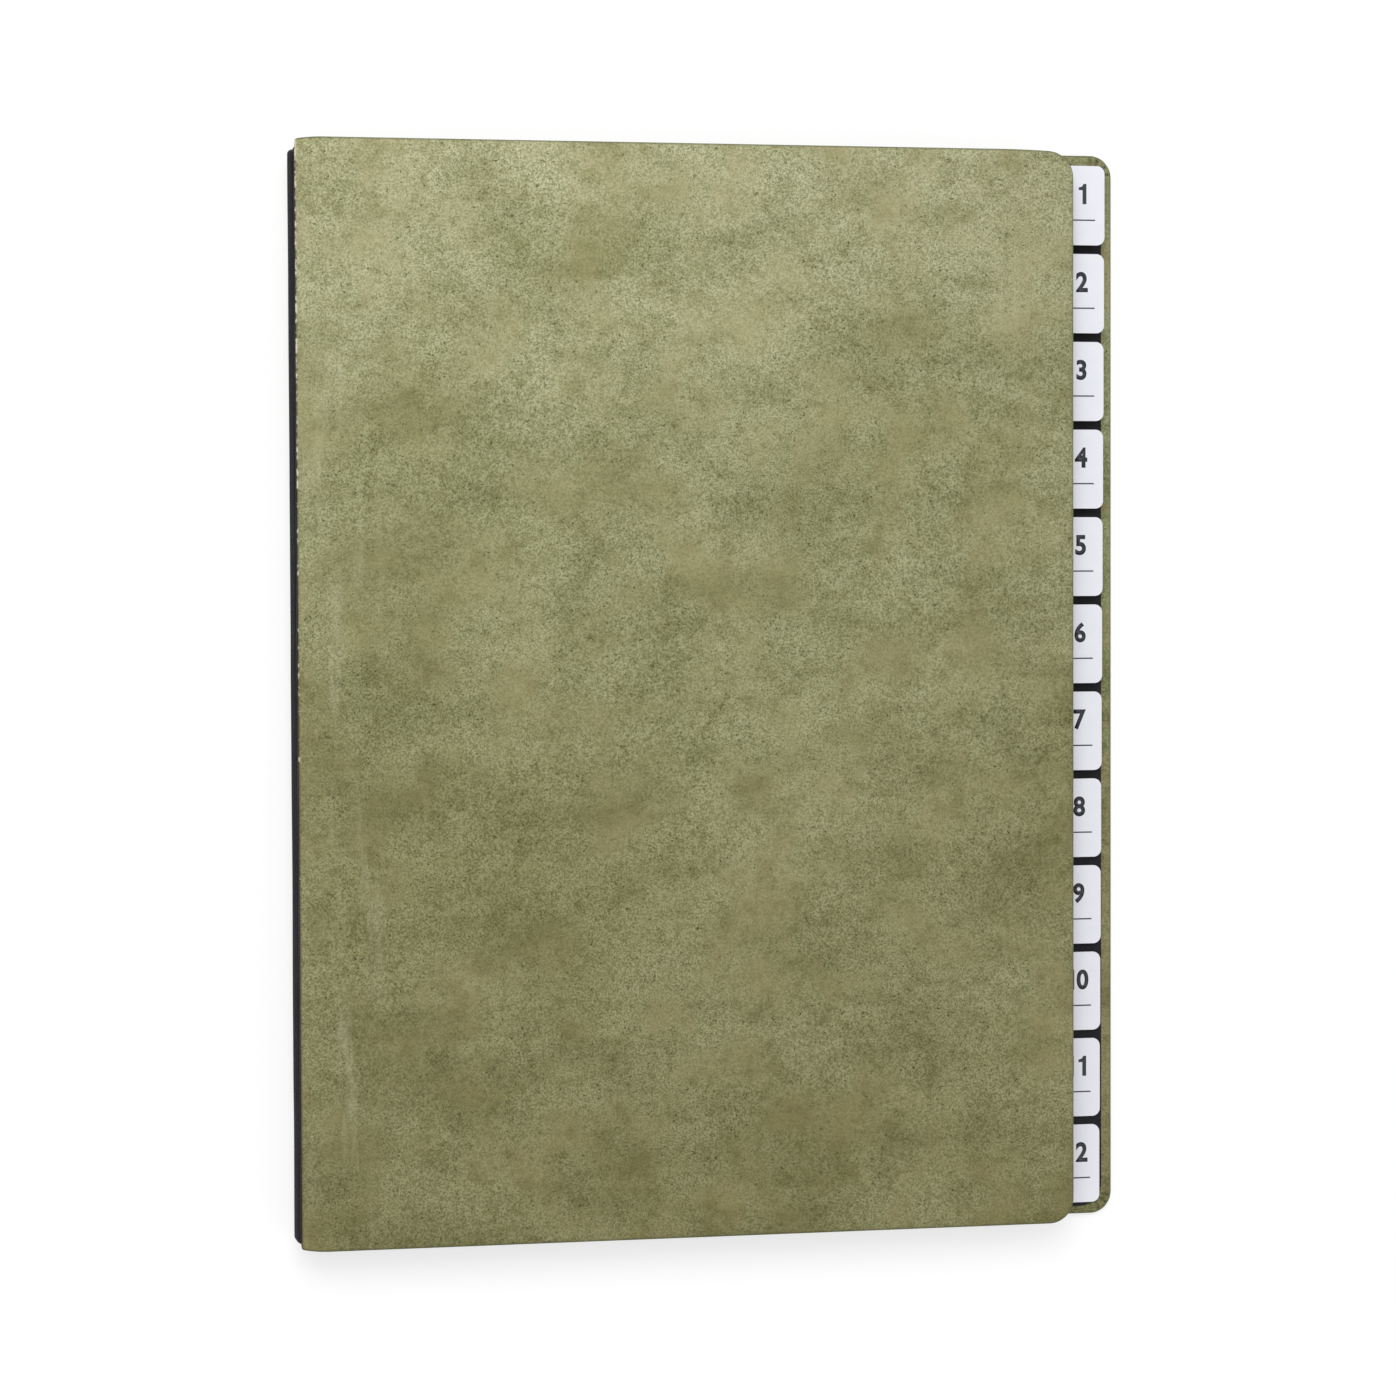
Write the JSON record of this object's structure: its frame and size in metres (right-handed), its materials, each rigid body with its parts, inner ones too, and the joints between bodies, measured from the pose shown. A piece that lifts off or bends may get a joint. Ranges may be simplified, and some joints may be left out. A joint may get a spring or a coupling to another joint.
{
  "type": "index folder",
  "caption": "Desk index folder with soft leather covers on a pleated cloth spine, black card leaves and white index tabs, lying shut.",
  "frame": {"origin": "middle of the underside of the shut folder as it lies on its back cover", "axes": "+X from the spine to the index tabs, +Y up the page to the first tab, +Z through the front cover"},
  "size_m": [0.2652, 0.34, 0.0205],
  "materials": {
    "leather": "olive green split leather with a waxed, mottled suede face",
    "greyboard": "raw grey bookbinder's board",
    "lining": "black lining paper",
    "spine_cloth": "black book cloth, folded in pleats",
    "leaf_card": "black card",
    "label_paper": "white paper under clear film"
  },
  "bodies": {
    "back_cover": {"back_leather": "leather", "back_board": "greyboard", "back_lining": "lining"},
    "leaf_block": {"spine_bellows": "spine_cloth", "leaf_01": "leaf_card", "tab_label_01": "label_paper", "leaf_02": "leaf_card", "tab_label_02": "label_paper", "leaf_03": "leaf_card", "tab_label_03": "label_paper", "leaf_04": "leaf_card", "tab_label_04": "label_paper", "leaf_05": "leaf_card", "tab_label_05": "label_paper", "leaf_06": "leaf_card", "tab_label_06": "label_paper", "leaf_07": "leaf_card", "tab_label_07": "label_paper", "leaf_08": "leaf_card", "tab_label_08": "label_paper", "leaf_09": "leaf_card", "tab_label_09": "label_paper", "leaf_10": "leaf_card", "tab_label_10": "label_paper", "leaf_11": "leaf_card", "tab_label_11": "label_paper", "leaf_12": "leaf_card", "tab_label_12": "label_paper"},
    "front_cover": {"front_leather": "leather", "front_board": "greyboard", "front_lining": "lining"}
  },
  "joints": [
    {"name": "back_cover_hinge", "type": "hinge", "parent": "back_cover", "child": "leaf_block", "pos_m": [-0.1314, 0, 0.003], "axis": [0, -1, 0], "range_deg": [0, 180]},
    {"name": "front_cover_hinge", "type": "hinge", "parent": "leaf_block", "child": "front_cover", "pos_m": [-0.1314, 0, 0.0175], "axis": [0, -1, 0], "range_deg": [0, 180]}
  ]
}
